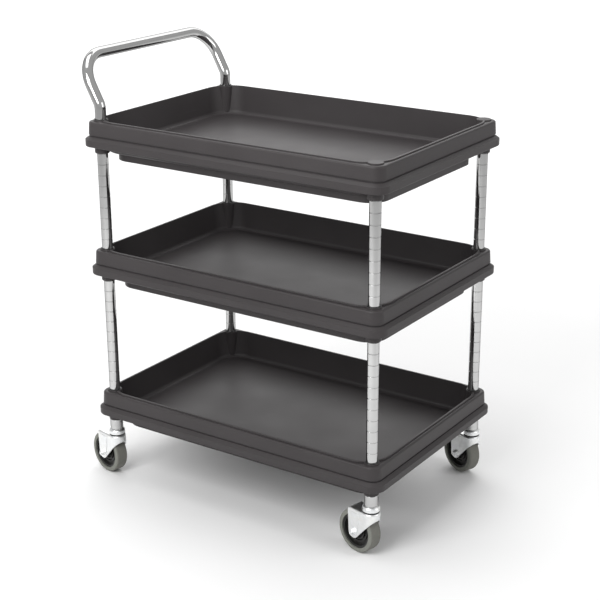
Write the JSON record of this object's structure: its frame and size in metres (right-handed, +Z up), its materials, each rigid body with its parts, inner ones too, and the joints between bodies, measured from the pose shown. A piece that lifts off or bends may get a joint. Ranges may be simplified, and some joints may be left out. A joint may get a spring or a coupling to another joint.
{
  "type": "rolling utility cart",
  "caption": "Rolling utility cart with deep tray shelves on grooved tube posts, a bent push handle and swivel casters.",
  "frame": {"origin": "on the floor, under the middle of the whole cart's box", "axes": "+X towards the end away from the push handle, +Y to the left of a person pushing, +Z up"},
  "size_m": [0.8448, 0.5506, 1.0351],
  "materials": {
    "shelf_polymer": "fine grained black moulded polymer",
    "sleeve_plastic": "smooth black plastic",
    "chrome_tube": "bright chrome plate",
    "zinc_steel": "bright zinc plated pressing",
    "seal_rubber": "matt black",
    "grey_tread": "grey non marking tread",
    "wheel_plastic": "black moulded hub",
    "bush_plastic": "smooth self lubricating plastic"
  },
  "bodies": {
    "frame": {"bottom_shelf": "shelf_polymer", "middle_shelf": "shelf_polymer", "top_shelf": "shelf_polymer", "post_front_right": "chrome_tube", "post_front_left": "chrome_tube", "post_rear_right": "chrome_tube", "post_rear_left": "chrome_tube", "post_sleeves_front_right": "sleeve_plastic", "post_sleeves_front_left": "sleeve_plastic", "post_sleeves_rear_right": "sleeve_plastic", "post_sleeves_rear_left": "sleeve_plastic", "push_handle": "chrome_tube", "handle_plugs": "zinc_steel", "post_caps": "sleeve_plastic", "stem_sockets": "zinc_steel", "stem_collars": "chrome_tube", "caster_stem_front_right": "zinc_steel", "caster_stem_front_left": "zinc_steel", "caster_stem_rear_right": "zinc_steel", "caster_stem_rear_left": "zinc_steel", "upper_race_front_right": "zinc_steel", "upper_race_front_left": "zinc_steel", "upper_race_rear_right": "zinc_steel", "upper_race_rear_left": "zinc_steel"},
    "swivel_front_right": {"fork_front_right": "zinc_steel", "swivel_seal_front_right": "seal_rubber", "swivel_balls_front_right": "zinc_steel", "axle_bolt_front_right": "zinc_steel", "axle_nut_front_right": "zinc_steel", "axle_sleeve_front_right": "zinc_steel"},
    "wheel_front_right": {"wheel_core_front_right": "wheel_plastic", "tyre_front_right": "grey_tread", "wheel_bushes_front_right": "bush_plastic"},
    "swivel_front_left": {"fork_front_left": "zinc_steel", "swivel_seal_front_left": "seal_rubber", "swivel_balls_front_left": "zinc_steel", "axle_bolt_front_left": "zinc_steel", "axle_nut_front_left": "zinc_steel", "axle_sleeve_front_left": "zinc_steel"},
    "wheel_front_left": {"wheel_core_front_left": "wheel_plastic", "tyre_front_left": "grey_tread", "wheel_bushes_front_left": "bush_plastic"},
    "swivel_rear_right": {"fork_rear_right": "zinc_steel", "swivel_seal_rear_right": "seal_rubber", "swivel_balls_rear_right": "zinc_steel", "axle_bolt_rear_right": "zinc_steel", "axle_nut_rear_right": "zinc_steel", "axle_sleeve_rear_right": "zinc_steel"},
    "wheel_rear_right": {"wheel_core_rear_right": "wheel_plastic", "tyre_rear_right": "grey_tread", "wheel_bushes_rear_right": "bush_plastic"},
    "swivel_rear_left": {"fork_rear_left": "zinc_steel", "swivel_seal_rear_left": "seal_rubber", "swivel_balls_rear_left": "zinc_steel", "axle_bolt_rear_left": "zinc_steel", "axle_nut_rear_left": "zinc_steel", "axle_sleeve_rear_left": "zinc_steel"},
    "wheel_rear_left": {"wheel_core_rear_left": "wheel_plastic", "tyre_rear_left": "grey_tread", "wheel_bushes_rear_left": "bush_plastic"}
  },
  "joints": [
    {"name": "front_right_swivel", "type": "hinge", "parent": "frame", "child": "swivel_front_right", "pos_m": [0.38637, -0.2393, 0.1073], "axis": [0, 0, 1], "continuous": true},
    {"name": "front_right_wheel_spin", "type": "hinge", "parent": "swivel_front_right", "child": "wheel_front_right", "pos_m": [0.35372, -0.23176, 0.0508], "axis": [-0.225, -0.9744, 0], "continuous": true},
    {"name": "front_left_swivel", "type": "hinge", "parent": "frame", "child": "swivel_front_left", "pos_m": [0.38637, 0.2307, 0.1073], "axis": [0, 0, 1], "continuous": true},
    {"name": "front_left_wheel_spin", "type": "hinge", "parent": "swivel_front_left", "child": "wheel_front_left", "pos_m": [0.3553, 0.24325, 0.0508], "axis": [-0.3746, -0.9272, 0], "continuous": true},
    {"name": "rear_right_swivel", "type": "hinge", "parent": "frame", "child": "swivel_rear_right", "pos_m": [-0.33764, -0.2393, 0.1073], "axis": [0, 0, 1], "continuous": true},
    {"name": "rear_right_wheel_spin", "type": "hinge", "parent": "swivel_rear_right", "child": "wheel_rear_right", "pos_m": [-0.37028, -0.23176, 0.0508], "axis": [-0.225, -0.9744, 0], "continuous": true},
    {"name": "rear_left_swivel", "type": "hinge", "parent": "frame", "child": "swivel_rear_left", "pos_m": [-0.33764, 0.2307, 0.1073], "axis": [0, 0, 1], "continuous": true},
    {"name": "rear_left_wheel_spin", "type": "hinge", "parent": "swivel_rear_left", "child": "wheel_rear_left", "pos_m": [-0.36967, 0.2405, 0.0508], "axis": [-0.2924, -0.9563, 0], "continuous": true}
  ]
}
